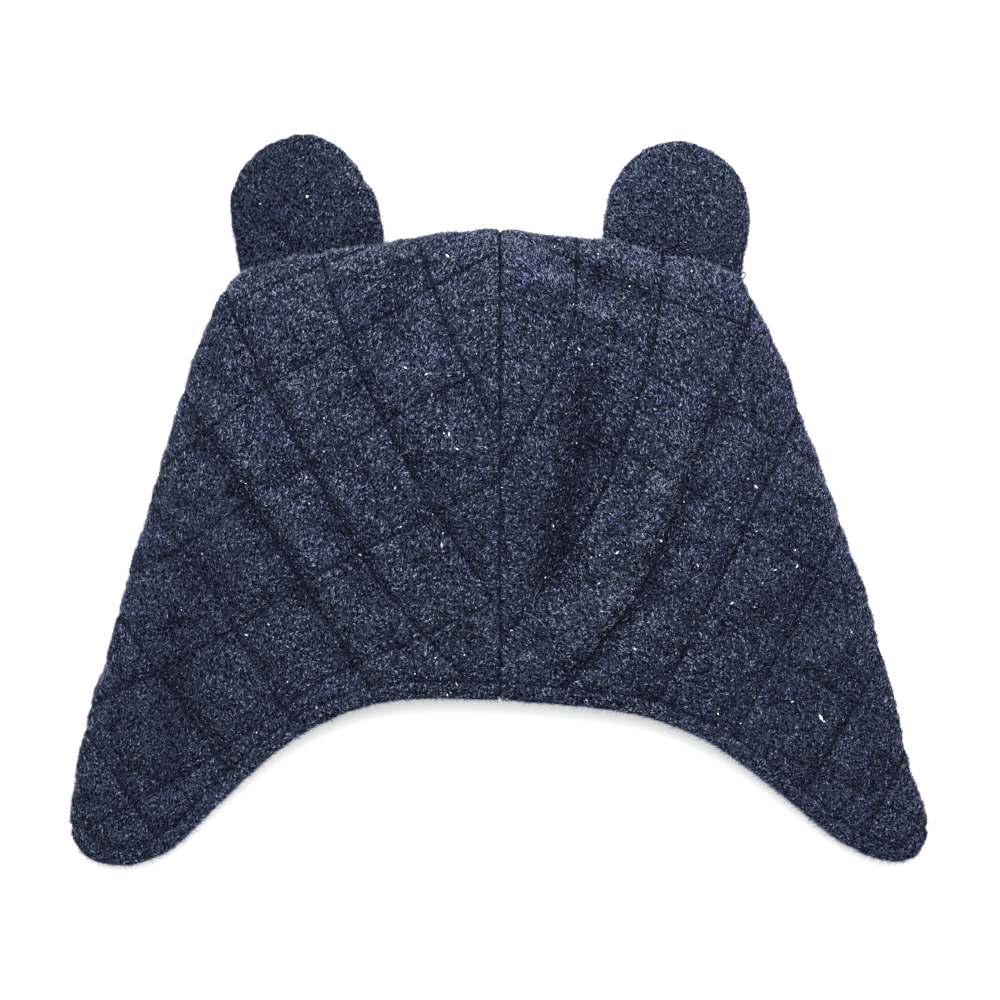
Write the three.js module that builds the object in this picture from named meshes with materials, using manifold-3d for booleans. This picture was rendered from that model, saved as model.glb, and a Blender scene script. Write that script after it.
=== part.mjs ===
// A baby's quilted fleece hat with two round ears and two earflaps, lying flat.
// It is made of two side panels, each folded over at the side and at the crown, so that each has a
// near layer on top and a far layer on the surface below, and of two padded ears. The panels meet in
// the centre seam and are open along the hem, where the head goes in.
// Millimetres. +X points to the right half, +Y to the crown, +Z up from the surface. "out" is the
// distance from the centre seam, so that both halves are drawn in the same way and the left is mirrored.
import * as THREE from 'three';
import { mergeVertices } from 'three/addons/utils/BufferGeometryUtils.js';
import Module from 'manifold-3d';

const wasm = await Module();
wasm.setup();

const { clamp, lerp, mapLinear } = THREE.MathUtils;

// Driving dimensions.
const wall = 5; // fleece, wadding and backing, quilted together
const gap = 0.3; // between two pieces that touch
const crownFoldRadius = 8.5; // outer radius of the fold at the crown
const tipFoldRadius = 6.6; // and at the tip of an earflap
const crownHeight = 81.4; // y of the crown fold and of the hem at the centre seam
const hemHeight = -59.8;
const tipHeight = -97; // y where the side fold runs into the round tip of the flap
const earThickness = 12;
const earFullness = 0.75; // 1 is an ellipsoid, less is a fuller cushion

// Number of facets: across a quarter turn of a fold, and along the rest of a layer.
const turnFacets = 4;
const acrossFacets = 15;
const downFacets = 18;
const earFacets = { around: 36, over: 16 };

// The side fold: how far out it lies on each half, a row for each section from the crown down.
const sideFold = [
  { y: 70, left: 77.2, right: 71.2 },
  { y: 61, left: 84.2, right: 75.8 },
  { y: 50, left: 89.1, right: 81.2 },
  { y: 30, left: 96.3, right: 89.2 },
  { y: 0, left: 105.3, right: 100.2 },
  { y: -30, left: 114.0, right: 110.6 },
  { y: -60, left: 122.8, right: 118.6 },
  { y: -85, left: 128.3, right: 125.0 },
  { y: tipHeight, left: 129.2, right: 129.2 },
];

// The crown fold: its y on each half, a row for each section from the seam out.
const crownFold = [
  { out: 0, left: crownHeight, right: crownHeight },
  { out: 12, left: 80.4, right: 80.0 },
  { out: 25, left: 78.6, right: 78.5 },
  { out: 40, left: 76.6, right: 76.0 },
  { out: 55, left: 73.6, right: 72.3 },
  { out: 80, left: 67.2, right: 64.6 },
];

// The hem: from the seam over the arch and down the earflap, then round its tip to the side fold.
const hem = {
  left: [
    { out: 0, y: hemHeight },
    { out: 30, y: -59.6 },
    { out: 48, y: -64.6 },
    { out: 66, y: -74.8 },
    { out: 84, y: -91.4 },
    { out: 98, y: -104.9 },
    { out: 112, y: -110.0 },
    { out: 122.5, y: -108.0 },
    { out: 128, y: -102.4 },
    { out: 129.2, y: tipHeight },
  ],
  right: [
    { out: 0, y: hemHeight },
    { out: 24, y: -61.8 },
    { out: 45, y: -65.2 },
    { out: 66, y: -74.8 },
    { out: 84, y: -88.4 },
    { out: 101, y: -102.0 },
    { out: 114, y: -108.2 },
    { out: 122.5, y: -108.4 },
    { out: 127.8, y: -104.4 },
    { out: 129.2, y: tipHeight },
  ],
};

// How far the near layer stands up over the far one at the centre seam, besides the folds.
const seamRise = [
  { y: crownHeight, rise: 0 },
  { y: 68, rise: 9 },
  { y: 50, rise: 16 },
  { y: 22, rise: 21 },
  { y: -12, rise: 19 },
  { y: -40, rise: 13 },
  { y: -62, rise: 9.5 },
  { y: -80, rise: 7 },
  { y: -112, rise: 3 },
];

// Soft dents and ridges of the near layer: each runs straight between two places, and its height
// fades over the spread on both sides. The right half has the deep ones, beside the centre seam.
const dents = [
  { name: 'crown pinch', fromX: 13, fromY: 77, toX: 31, toY: 63, height: -3.2, spread: 5.5 },
  { name: 'crown pinch, outer end', fromX: 31, fromY: 63, toX: 46, toY: 59, height: -2.6, spread: 5.5 },
  { name: 'lip below the pinch', fromX: 6, fromY: 68, toX: 27, toY: 55, height: 2.2, spread: 6 },
  { name: 'inner valley, upper', fromX: 28, fromY: 44, toX: 24, toY: 9, height: -4.2, spread: 7 },
  { name: 'inner valley, lower', fromX: 23, fromY: 1, toX: 13, toY: -28, height: -3.4, spread: 7 },
  { name: 'middle ridge, upper', fromX: 36, fromY: 56, toX: 48, toY: 22, height: 2.2, spread: 7 },
  { name: 'middle ridge, lower', fromX: 44, fromY: 10, toX: 20, toY: -41, height: 2.4, spread: 7 },
  { name: 'outer valley, upper', fromX: 63, fromY: 23, toX: 51, toY: -7, height: -3.4, spread: 6.5 },
  { name: 'outer valley, lower', fromX: 48, fromY: -15, toX: 32, toY: -44, height: -3.8, spread: 6.5 },
  { name: 'outer ridge', fromX: 69, fromY: 17, toX: 54, toY: -37, height: 2.0, spread: 7 },
  { name: 'left crown hollow', fromX: -30, fromY: 66, toX: -42, toY: 29, height: -2, spread: 8 },
  { name: 'left middle hollow', fromX: -13, fromY: -10, toX: -14, toY: -24, height: -1.5, spread: 8 },
  { name: 'left flap hollow', fromX: -100, fromY: -46, toX: -102, toY: -85, height: -1.2, spread: 7 },
];

// The ears: centre, radius, and how deep the rim is drawn in, at an angle from +X.
const ears = [
  { half: 'left', x: -58.2, y: 86.6, radius: 22.9, flatAngle: 38, flatDepth: 2.8 },
  { half: 'right', x: 53.1, y: 84.6, radius: 22.3, flatAngle: 165, flatDepth: 0.8 },
];
const flatSpread = 36; // degrees over which the drawn-in stretch fades
// Below its middle, an ear keeps its width down to the crown and leads a little inwards.
const earLean = 0.15; // sideways for each unit down
const earKeptWidth = 0.9; // 1 keeps it as wide as at the middle
const earDeepest = 0.78; // share of the radius down to which it does
const earFloorGap = 0.2; // ear's underside over the surface

const cloth = { color: '#343a4d', roughness: 0.95, metalness: 0 };

// A smooth curve through the rows of a table: the column "to" as a function of the column "from".
// It is held level past both ends.
function curveThrough(rows, from, to) {
  const knots = rows.map((row) => ({ at: row[from], value: row[to] })).sort((a, b) => a.at - b.at);
  const last = knots.length - 1;
  const slopes = knots.map((knot, i) => {
    const before = knots[Math.max(i - 1, 0)];
    const after = knots[Math.min(i + 1, last)];
    return (after.value - before.value) / (after.at - before.at);
  });
  return (at) => {
    const place = clamp(at, knots[0].at, knots[last].at);
    const above = knots.findIndex((knot) => knot.at > place);
    const k = (above < 0 ? last : above) - 1;
    const span = knots[k + 1].at - knots[k].at;
    const u = (place - knots[k].at) / span;
    const smooth = u * u * (3 - 2 * u);
    const leave = u * (1 - u) * (1 - u) * span * slopes[k];
    const arrive = u * u * (u - 1) * span * slopes[k + 1];
    return lerp(knots[k].value, knots[k + 1].value, smooth) + leave + arrive;
  };
}

const riseAt = curveThrough(seamRise, 'y', 'rise');

function foldRadiusAt(y) {
  const wanted = mapLinear(y, crownHeight, tipHeight, crownFoldRadius, tipFoldRadius);
  return clamp(wanted, tipFoldRadius, crownFoldRadius);
}

function dentAt(x, y) {
  const place = new THREE.Vector3(x, y, 0);
  const line = new THREE.Line3();
  const nearest = new THREE.Vector3();
  return dents.reduce((height, dent) => {
    line.start.set(dent.fromX, dent.fromY, 0);
    line.end.set(dent.toX, dent.toY, 0);
    const away = line.closestPointToPoint(place, true, nearest).distanceTo(place);
    return height + dent.height * Math.exp(-((away / dent.spread) ** 2));
  }, 0);
}

// The outline of one half, and how it lies when drawn inwards by an inset.
function outlineOf(side) {
  const foldOut = curveThrough(sideFold, 'y', side);
  const crownY = curveThrough(crownFold, 'out', side);
  const hemCurve = new THREE.SplineCurve(hem[side].map((row) => new THREE.Vector2(row.out, row.y)));

  // Where the side fold meets the crown fold.
  const corner = (inset) => {
    const place = new THREE.Vector2(sideFold[0][side], sideFold[0].y);
    for (let pass = 0; pass < 40; pass += 1) {
      place.y = crownY(place.x) - inset;
      place.x = foldOut(place.y) - inset;
    }
    return place;
  };

  // The share of the hem that lies inside the side fold.
  const hemShare = (inset) => {
    const outside = (share) => {
      const place = hemCurve.getPointAt(share);
      return place.x > foldOut(place.y) - inset;
    };
    let inner = 0.5;
    let outer = 1;
    if (!outside(outer)) return outer;
    for (let pass = 0; pass < 40; pass += 1) {
      const middle = (inner + outer) / 2;
      if (outside(middle)) outer = middle;
      else inner = middle;
    }
    return inner;
  };
  return { foldOut, crownY, hemCurve, corner, hemShare };
}

// Places along a layer from a fold, 0, to its far end, 1: close together on the fold's quarter turn.
function stations(facets, turn) {
  const onTurn = Array.from({ length: turnFacets }, (_, i) =>
    turn * (1 - Math.cos((i / turnFacets) * (Math.PI / 2))));
  const onFlat = Array.from({ length: facets + 1 }, (_, i) => lerp(turn, 1, i / facets));
  return [...onTurn, ...onFlat];
}

// Height of a quarter turn, 0 at its edge and 1 from its radius inwards.
function roundOver(share) {
  return Math.sqrt(1 - (1 - clamp(share, 0, 1)) ** 2);
}

// The near and far surface of one half, drawn inwards by an inset, as grids of places: a row for each
// station from the crown down, a column for each from the seam out. Both share their folded edges.
function surfacesOf(side, outline, inset) {
  const sign = side === 'left' ? -1 : 1;
  const corner = outline.corner(inset);
  const share = outline.hemShare(inset);
  const hemEnd = outline.hemCurve.getPointAt(share);
  const seamOut = gap / 2;

  const crownLine = (s) => {
    const out = lerp(seamOut, corner.x, s);
    return new THREE.Vector2(out, outline.crownY(out) - inset);
  };
  const hemLine = (s) => {
    const place = outline.hemCurve.getPointAt(s * share);
    place.x = Math.max(place.x, seamOut);
    return place;
  };
  const foldLine = (t) => {
    const y = lerp(corner.y, hemEnd.y, t);
    return new THREE.Vector2(outline.foldOut(y) - inset, y);
  };
  const seamLine = (t) => new THREE.Vector2(seamOut, lerp(crownHeight - inset, hemHeight, t));

  // A patch blended between its four edges.
  const planAt = (s, t) => {
    const across = seamLine(t).lerp(foldLine(t), s);
    const down = crownLine(s).lerp(hemLine(s), t);
    const corners = seamLine(0).lerp(crownLine(1), s).lerp(seamLine(1).lerp(hemLine(1), s), t);
    return across.add(down).sub(corners);
  };

  const radius = crownFoldRadius - inset;
  const columns = stations(acrossFacets, radius / corner.x).map((station) => 1 - station).reverse();
  const rows = stations(downFacets, radius / (crownHeight - hemHeight));
  const near = [];
  const far = [];
  rows.forEach((t, j) => {
    near.push([]);
    far.push([]);
    columns.forEach((s, i) => {
      const plan = planAt(s, t);
      const turn = foldRadiusAt(plan.y);
      const fromSide = roundOver((outline.foldOut(plan.y) - inset - plan.x) / (turn - inset));
      const fromCrown = roundOver((outline.crownY(plan.x) - inset - plan.y) / (turn - inset));
      const onFold = j === 0 || i === columns.length - 1;
      const raised = onFold ? 0 : fromSide * fromCrown;
      const x = sign * plan.x;
      const across = clamp(plan.x / outline.foldOut(plan.y), 0, 1);
      const top = 2 * turn + riseAt(plan.y) * (1 - across ** 2) + dentAt(x, plan.y) - inset;
      near[j].push(new THREE.Vector3(x, plan.y, lerp(turn, top, raised)));
      far[j].push(new THREE.Vector3(x, plan.y, lerp(turn, inset, raised)));
    });
  });
  return { near, far };
}

// Collects triangles and makes one closed geometry of them. The left half is mirrored, so its
// triangles are turned round to keep their faces out.
class Skin {
  constructor(mirrored = false) {
    this.mirrored = mirrored;
    this.triangles = [];
  }

  // Four places round a facet, parted along its shorter diagonal.
  quad(a, b, c, d) {
    const straight = a.distanceTo(c) <= b.distanceTo(d);
    const faces = straight ? [[a, b, c], [a, c, d]] : [[b, c, d], [b, d, a]];
    this.triangles.push(...(this.mirrored ? faces.map((face) => face.reverse()) : faces));
  }

  // A grid of places, seen from above; below turns its faces down.
  sheet(grid, below = false) {
    for (let j = 0; j + 1 < grid.length; j += 1) {
      for (let i = 0; i + 1 < grid[j].length; i += 1) {
        const around = [grid[j][i], grid[j + 1][i], grid[j + 1][i + 1], grid[j][i + 1]];
        this.quad(...(below ? around.reverse() : around));
      }
    }
  }

  // A band of cut edge between an upper and a lower line of places.
  edge(upper, lower, turned = false) {
    for (let i = 0; i + 1 < upper.length; i += 1) {
      const around = [upper[i], lower[i], lower[i + 1], upper[i + 1]];
      this.quad(...(turned ? around.reverse() : around));
    }
  }

  geometry() {
    const shape = new THREE.BufferGeometry().setFromPoints(this.triangles.flat());
    return closed(shape);
  }
}

// Merges shared vertices and leaves out triangles that have collapsed at a pole.
function closed(shape) {
  shape.deleteAttribute('normal');
  shape.deleteAttribute('uv');
  const merged = mergeVertices(shape, 1e-4);
  const index = merged.getIndex().array;
  const kept = [];
  for (let i = 0; i < index.length; i += 3) {
    const [a, b, c] = index.slice(i, i + 3);
    if (a !== b && b !== c && c !== a) kept.push(a, b, c);
  }
  merged.setIndex(kept);
  return merged;
}

const seamColumn = (grid) => grid.map((row) => row[0]);
const foldColumn = (grid) => grid.map((row) => row[row.length - 1]);

// One half of the hat: an outer and an inner skin, joined by the cut faces at the seam and the hem.
function panelGeometry(side) {
  const outline = outlineOf(side);
  const outer = surfacesOf(side, outline, 0);
  const inner = surfacesOf(side, outline, wall);
  const skin = new Skin(side === 'left');
  skin.sheet(outer.near);
  skin.sheet(outer.far, true);
  skin.sheet(inner.near, true);
  skin.sheet(inner.far);
  skin.edge(seamColumn(outer.near), seamColumn(inner.near));
  skin.edge(seamColumn(inner.far), seamColumn(outer.far));
  skin.edge(outer.near.at(-1), inner.near.at(-1));
  skin.edge(inner.far.at(-1), outer.far.at(-1));
  return skin.geometry();
}

// All the room that one half takes, down to below the surface, with the gap round it.
function panelRoom(side) {
  const { near } = surfacesOf(side, outlineOf(side), -gap);
  const below = near.map((row) => row.map((place) => place.clone().setZ(-1)));
  const skin = new Skin(side === 'left');
  skin.sheet(near);
  skin.sheet(below, true);
  skin.edge(seamColumn(near), seamColumn(below));
  skin.edge(near.at(-1), below.at(-1));
  skin.edge(foldColumn(near), foldColumn(below), true);
  skin.edge(near[0], below[0], true);
  return skin.geometry();
}

function toSolid(geometry) {
  const vertProperties = new Float32Array(geometry.getAttribute('position').array);
  const triVerts = new Uint32Array(geometry.getIndex().array);
  return new wasm.Manifold(new wasm.Mesh({ numProp: 3, vertProperties, triVerts }));
}

function toGeometry(solid) {
  const { vertProperties, triVerts } = solid.getMesh();
  const geometry = new THREE.BufferGeometry();
  geometry.setAttribute('position', new THREE.BufferAttribute(new Float32Array(vertProperties), 3));
  geometry.setIndex(new THREE.BufferAttribute(new Uint32Array(triVerts), 1));
  return geometry;
}

// Widens the lower half of a round ear, whose base would otherwise narrow like a ball.
function widenBase(places, half, radius) {
  const down = new THREE.Vector2(half === 'left' ? earLean : -earLean, -1).normalize();
  const across = new THREE.Vector2(-down.y, down.x);
  for (let i = 0; i < places.count; i += 1) {
    const place = new THREE.Vector2(places.getX(i), places.getY(i));
    const drop = clamp(place.dot(down), 0, earDeepest * radius);
    const wider = earKeptWidth * (radius / Math.sqrt(radius ** 2 - drop ** 2) - 1);
    place.addScaledVector(across, wider * place.dot(across));
    places.setXY(i, place.x, place.y);
  }
}

// A padded disc lying on the surface, its base cut to lie against the crown fold.
function earGeometry({ half, x, y, radius, flatAngle, flatDepth }) {
  const profile = Array.from({ length: earFacets.over + 1 }, (_, i) => {
    const angle = (i / earFacets.over) * Math.PI - Math.PI / 2;
    const reach = i % earFacets.over === 0 ? 0 : Math.cos(angle) ** earFullness;
    const height = Math.sign(angle) * Math.abs(Math.sin(angle)) ** earFullness;
    return new THREE.Vector2(radius * reach, (earThickness / 2) * height);
  });
  const disc = new THREE.LatheGeometry(profile, earFacets.around).rotateX(Math.PI / 2);
  const places = disc.getAttribute('position');
  for (let i = 0; i < places.count; i += 1) {
    const angle = THREE.MathUtils.radToDeg(Math.atan2(places.getY(i), places.getX(i)));
    const away = THREE.MathUtils.euclideanModulo(angle - flatAngle + 180, 360) - 180;
    const drawnIn = 1 - (flatDepth / radius) * Math.exp(-((away / flatSpread) ** 2));
    places.setXY(i, places.getX(i) * drawnIn, places.getY(i) * drawnIn);
  }
  widenBase(places, half, radius);
  disc.translate(x, y, earThickness / 2 + earFloorGap);
  const solid = toSolid(closed(disc)).subtract(toSolid(panelRoom(half)));
  return toGeometry(solid);
}

function piece(name, geometry) {
  geometry.computeVertexNormals();
  const mesh = new THREE.Mesh(geometry, new THREE.MeshStandardMaterial(cloth));
  mesh.name = name;
  return mesh;
}

const hat = new THREE.Group();
for (const side of ['left', 'right']) {
  hat.add(piece(`side_panel_${side}`, panelGeometry(side)));
}
for (const ear of ears) {
  hat.add(piece(`ear_${ear.half}`, earGeometry(ear)));
}

// The origin is the middle of the whole hat's plan, on the surface that it lies on.
const middle = new THREE.Box3().setFromObject(hat).getCenter(new THREE.Vector3());
hat.position.set(-middle.x, -middle.y, 0);

export default hat;
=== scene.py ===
import math

import bpy
import numpy as np
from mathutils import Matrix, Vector, noise
from mathutils.bvhtree import BVHTree
from mathutils.kdtree import KDTree


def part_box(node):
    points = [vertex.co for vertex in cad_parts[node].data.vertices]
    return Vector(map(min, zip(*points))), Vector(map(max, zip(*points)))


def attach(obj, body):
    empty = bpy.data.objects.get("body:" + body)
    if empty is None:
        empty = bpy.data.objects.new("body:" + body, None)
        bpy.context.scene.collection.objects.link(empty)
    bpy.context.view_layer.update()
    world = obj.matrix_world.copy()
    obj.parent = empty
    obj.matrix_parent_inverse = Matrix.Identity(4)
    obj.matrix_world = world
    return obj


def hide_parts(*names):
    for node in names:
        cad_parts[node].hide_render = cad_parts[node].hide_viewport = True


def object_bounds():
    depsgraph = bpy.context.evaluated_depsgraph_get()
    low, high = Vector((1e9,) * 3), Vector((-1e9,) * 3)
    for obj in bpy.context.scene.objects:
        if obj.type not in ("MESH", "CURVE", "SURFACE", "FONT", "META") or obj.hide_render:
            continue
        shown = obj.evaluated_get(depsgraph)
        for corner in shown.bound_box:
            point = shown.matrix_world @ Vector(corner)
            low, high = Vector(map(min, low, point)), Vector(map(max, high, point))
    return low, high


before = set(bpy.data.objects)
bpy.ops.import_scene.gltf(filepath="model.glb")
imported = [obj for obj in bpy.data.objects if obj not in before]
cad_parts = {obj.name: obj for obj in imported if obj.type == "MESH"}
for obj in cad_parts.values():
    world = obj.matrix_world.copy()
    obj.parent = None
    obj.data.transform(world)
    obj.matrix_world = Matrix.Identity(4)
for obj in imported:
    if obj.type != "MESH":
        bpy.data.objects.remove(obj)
cad_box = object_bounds()

# Cut of the side panels: two mirrored halves of quilted fleece over wadding, each cut in one with its
# earflap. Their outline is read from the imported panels, and the quilting is drawn on the cloth here:
# steep lines that fan out from the crown, and shallow ones that cross them.
MM = 0.001
HALVES = {"left": -1, "right": 1}
WALL = 5 * MM
PARTING_HEIGHT = 7.2 * MM  # between the far layer, below, and the near one, above
CORNER_DROP = 15 * MM  # from the top of the crown down to its outer corner
HEM_STITCH_IN = 5.4 * MM  # from the edge to the topstitching
WELD_WITHIN = 0.01 * MM
LOOKS = {"fold": 100, "crown": 40, "hem": 120}  # how many points each part of the outline gets

# How far out from the centre seam each steep line runs, in mm, at heights from the flaps to the crown.
STEEP_AT = (-100, -75, -50, -25, 0, 25, 50, 75)
STEEP_LINES = {
    "left": (
        (None, None, None, None, -9, 3, 15, 24),
        (None, None, -12, 5, 21, 35, 46, 54),
        (None, None, 13, 35, 50, 64.5, 77, 87),
        (None, 26, 42, 58, 74, 90, None, None),
        (None, 56, 72, 87, 105, None, None, None),
        (68, 85, 103, 121, None, None, None, None),
        (103, 120, 139, None, None, None, None, None),
    ),
    "right": (
        (None, None, None, None, -6, 10, 21, 23),
        (None, None, -6, 13.5, 29, 39, 46, 49),
        (None, 4, 24, 42.5, 53, 62.5, 73, 77),
        (None, 38, 52, 64.5, 76.5, 88.5, None, None),
        (None, 68, 80.5, 93.5, 105.5, None, None, None),
        (82, 98, 112, 122, None, None, None, None),
        (109, 121.5, 132, None, None, None, None, None),
    ),
}
# The height of each shallow line, in mm, at distances out from the centre seam.
SHALLOW_AT = (0, 25, 50, 75, 100, 125)
SHALLOW_LINES = {
    "left": (
        (None, 82, 71, 61, 47, None),
        (74, 60, 45, 29.5, 10, None),
        (40.5, 28, 14, -1, -17, -29),
        (6, -7, -20, -36, -50, -63),
        (-29, -41, -52, -69, -85, -99),
    ),
    "right": (
        (None, 70, 59, 51, 38, None),
        (60, 48.5, 34, 22, 8, None),
        (29.5, 19, 7, -9.5, -25, -40),
        (-1, -15, -27, -42, -57, -70),
        (-33.5, -48, -60, -71, -83, -96),
    ),
}
# How hard each family is drawn in, how far it leans from the way it is measured, and how far apart its
# further lines lie, which run on round the side fold on the far layer.
FAMILIES = {
    "steep": {"pull": {"left": 1.0, "right": 1.0}, "lean": 31, "apart": 31, "further": 4},
    "shallow": {"pull": {"left": 0.75, "right": 0.35}, "lean": 28, "apart": 34, "further": 3},
}


def points_of(mesh):
    places = np.empty(len(mesh.vertices) * 3)
    mesh.vertices.foreach_get("co", places)
    return places.reshape(-1, 3)


def normals_of(mesh):
    facing = np.empty(len(mesh.vertices) * 3)
    mesh.vertex_normals.foreach_get("vector", facing)
    return facing.reshape(-1, 3)


def move_points(mesh, places):
    mesh.vertices.foreach_set("co", places.ravel())
    mesh.update()


def finish_with(piece, kind, **settings):
    """Adds a modifier with these settings and applies it."""
    modifier = piece.modifiers.new(kind.title(), kind)
    for name, value in settings.items():
        setattr(modifier, name, value)
    bpy.ops.object.select_all(action="DESELECT")
    piece.select_set(True)
    bpy.context.view_layer.objects.active = piece
    bpy.ops.object.modifier_apply(modifier=modifier.name)


def cloth_blank(node, name):
    """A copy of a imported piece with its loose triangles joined."""
    blank = bpy.data.objects.new(name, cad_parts[node].data.copy())
    blank.data.name = name
    blank.data.materials.clear()
    bpy.context.scene.collection.objects.link(blank)
    finish_with(blank, "WELD", merge_threshold=WELD_WITHIN)
    return blank


def tree_of(mesh):
    return BVHTree.FromPolygons(
        [tuple(v.co) for v in mesh.vertices], [tuple(p.vertices) for p in mesh.polygons]
    )


def outline_of(side, tree):
    """Side fold, crown fold and hem of a half as lines of (out, y), found by looking at it edge on."""
    sign = HALVES[side]
    low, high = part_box(f"side_panel_{side}")
    width, clear = max(high.x, -low.x), 0.5 * MM

    def hits(rays):
        found = (tree.ray_cast(Vector(start), Vector(direction))[0] for start, direction in rays)
        return np.array([(abs(place.x), place.y) for place in found if place is not None])

    fold = hits(
        ((sign * 2 * width, y, PARTING_HEIGHT), (-sign, 0, 0))
        for y in np.linspace(low.y, high.y - CORNER_DROP, LOOKS["fold"])
    )
    crown = hits(
        ((sign * out, 2 * high.y, PARTING_HEIGHT), (0, -1, 0))
        for out in np.linspace(clear, fold[-1, 0] - clear, LOOKS["crown"])
    )
    hem = hits(
        ((sign * out, 2 * low.y, WALL / 2), (0, 1, 0))
        for out in np.linspace(clear, width - 4 * clear, LOOKS["hem"])
    )
    return {"fold": fold, "crown": crown, "hem": hem}


def eased(stations, values, apart=2):
    """A line through a row of the tables, in metres, smooth between its stations."""
    known = [(s, v) for s, v in zip(stations, values) if v is not None]
    at, value = np.array(known, float).T
    slope = np.gradient(value, at)
    fine = np.arange(at[0], at[-1] + 0.1, apart)
    k = np.clip(np.searchsorted(at, fine, side="right") - 1, 0, len(at) - 2)
    span = at[k + 1] - at[k]
    u = (fine - at[k]) / span
    eased_value = (
        value[k] * (1 + 2 * u) * (1 - u) ** 2
        + value[k + 1] * (3 - 2 * u) * u**2
        + slope[k] * span * u * (1 - u) ** 2
        + slope[k + 1] * span * (u - 1) * u**2
    )
    return fine * MM, eased_value * MM


def follow(line, at):
    """Where a line runs at each station, going straight on past its ends."""
    stations, values = line["at"], line["value"]
    first = (values[1] - values[0]) / (stations[1] - stations[0])
    last = (values[-1] - values[-2]) / (stations[-1] - stations[-2])
    before = np.minimum(at - stations[0], 0) * first
    past = np.maximum(at - stations[-1], 0) * last
    return np.interp(at, stations, values) + before + past


def quilting_of(side):
    """Every stitching line of a half, with those that show on its far layer only."""
    lines = []
    tables = {"steep": (STEEP_AT, STEEP_LINES[side]), "shallow": (SHALLOW_AT, SHALLOW_LINES[side])}
    for family, (stations, rows) in tables.items():
        facts = FAMILIES[family]
        edge = rows[-1] if family == "steep" else rows[0]
        further = [
            tuple(None if v is None else v + k * facts["apart"] for v in edge)
            for k in range(1, facts["further"] + 1)
        ]
        for row in (*rows, *further):
            at, value = eased(stations, row)
            lines.append({"family": family, "at": at, "value": value, "pull": facts["pull"][side]})
    return lines


blanks = {side: cloth_blank(f"side_panel_{side}", f"quilted_panel_{side}") for side in HALVES}
trees = {side: tree_of(blanks[side].data) for side in HALVES}
outlines = {side: outline_of(side, trees[side]) for side in HALVES}
quilting = {side: quilting_of(side) for side in HALVES}


def along_cloth(side, places):
    """How far out each point lies along the cloth, which runs on past the side fold below."""
    out = np.abs(places[:, 0])
    fold = outlines[side]["fold"]
    edge = np.interp(places[:, 1], fold[:, 1], fold[:, 0])
    return np.where(places[:, 2] < PARTING_HEIGHT, 2 * edge - out, out)


def to_quilting(side, places):
    """Distance from each point to the nearest quilting line, and how hard that line pulls."""
    out, y = along_cloth(side, places), places[:, 1]
    nearest, pull = np.full(len(places), np.inf), np.zeros(len(places))
    for line in quilting[side]:
        level = math.cos(math.radians(FAMILIES[line["family"]]["lean"]))
        at, value = (y, out) if line["family"] == "steep" else (out, y)
        away = np.abs(value - follow(line, at)) * level
        closer = away < nearest
        nearest[closer], pull[closer] = away[closer], line["pull"]
    return nearest, pull


def to_line(line, plan):
    """Distance in plan from each point to a line of points."""
    nearest = np.full(len(plan), np.inf)
    for start, end in zip(line[:-1], line[1:]):
        run = end - start
        share = np.clip(((plan - start) @ run) / (run @ run), 0, 1)
        nearest = np.minimum(nearest, np.hypot(*(plan - start - share[:, None] * run).T))
    return nearest


def to_hem(side, places):
    plan = np.column_stack([np.abs(places[:, 0]), places[:, 1]])
    return to_line(outlines[side]["hem"], plan)


# Padding of the side panels: a coarse copy of each is cut a little too large and swollen by the
# pressure of its wadding, held at the seams and along every stitching line, and the fine cloth then
# takes over how far it moved.
SWELL_VOXEL = 2.6 * MM
SWELL_PRESSURE = 20
SWELL_FRAMES = 20
CUT_TOO_LARGE = 0.05
CLOTH_STIFFNESS = 5
CLOTH_MASS = 0.01
MOST_SWELL = 2.2 * MM
HELD_WIDTH = 1.8 * MM
TAKEN_OVER_WITHIN = 0.2 * MM


def swell(blank, held_share, voxel=SWELL_VOXEL, most=MOST_SWELL):
    """Where the points of a coarse copy of a padded piece lie, and how far its wadding moves them."""
    coarse = blank.copy()
    coarse.data = blank.data.copy()
    bpy.context.scene.collection.objects.link(coarse)
    finish_with(coarse, "REMESH", mode="VOXEL", voxel_size=voxel)
    finish_with(coarse, "SMOOTH", factor=0.5, iterations=4)
    rest = points_of(coarse.data)
    held = coarse.vertex_groups.new(name="held")
    for index, share in enumerate(held_share(rest)):
        held.add([index], float(share), "REPLACE")
    cloth = coarse.modifiers.new("Wadding", "CLOTH")
    cloth.point_cache.frame_start = 1
    cloth.point_cache.frame_end = SWELL_FRAMES
    cloth.settings.mass = CLOTH_MASS
    cloth.settings.tension_stiffness = CLOTH_STIFFNESS
    cloth.settings.compression_stiffness = CLOTH_STIFFNESS
    cloth.settings.shear_stiffness = CLOTH_STIFFNESS / 3
    cloth.settings.shrink_min = -CUT_TOO_LARGE
    cloth.settings.use_pressure = True
    cloth.settings.uniform_pressure_force = SWELL_PRESSURE
    cloth.settings.vertex_group_mass = "held"
    cloth.settings.effector_weights.gravity = 0
    for number in range(1, SWELL_FRAMES + 1):
        bpy.context.scene.frame_set(number)
    shown = coarse.evaluated_get(bpy.context.evaluated_depsgraph_get())
    moved = points_of(shown.data) - rest
    bpy.context.scene.frame_set(1)
    bpy.data.objects.remove(coarse)
    length = np.linalg.norm(moved, axis=1, keepdims=True)
    return rest, moved * np.minimum(1, most / np.maximum(length, 1e-9))


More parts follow.
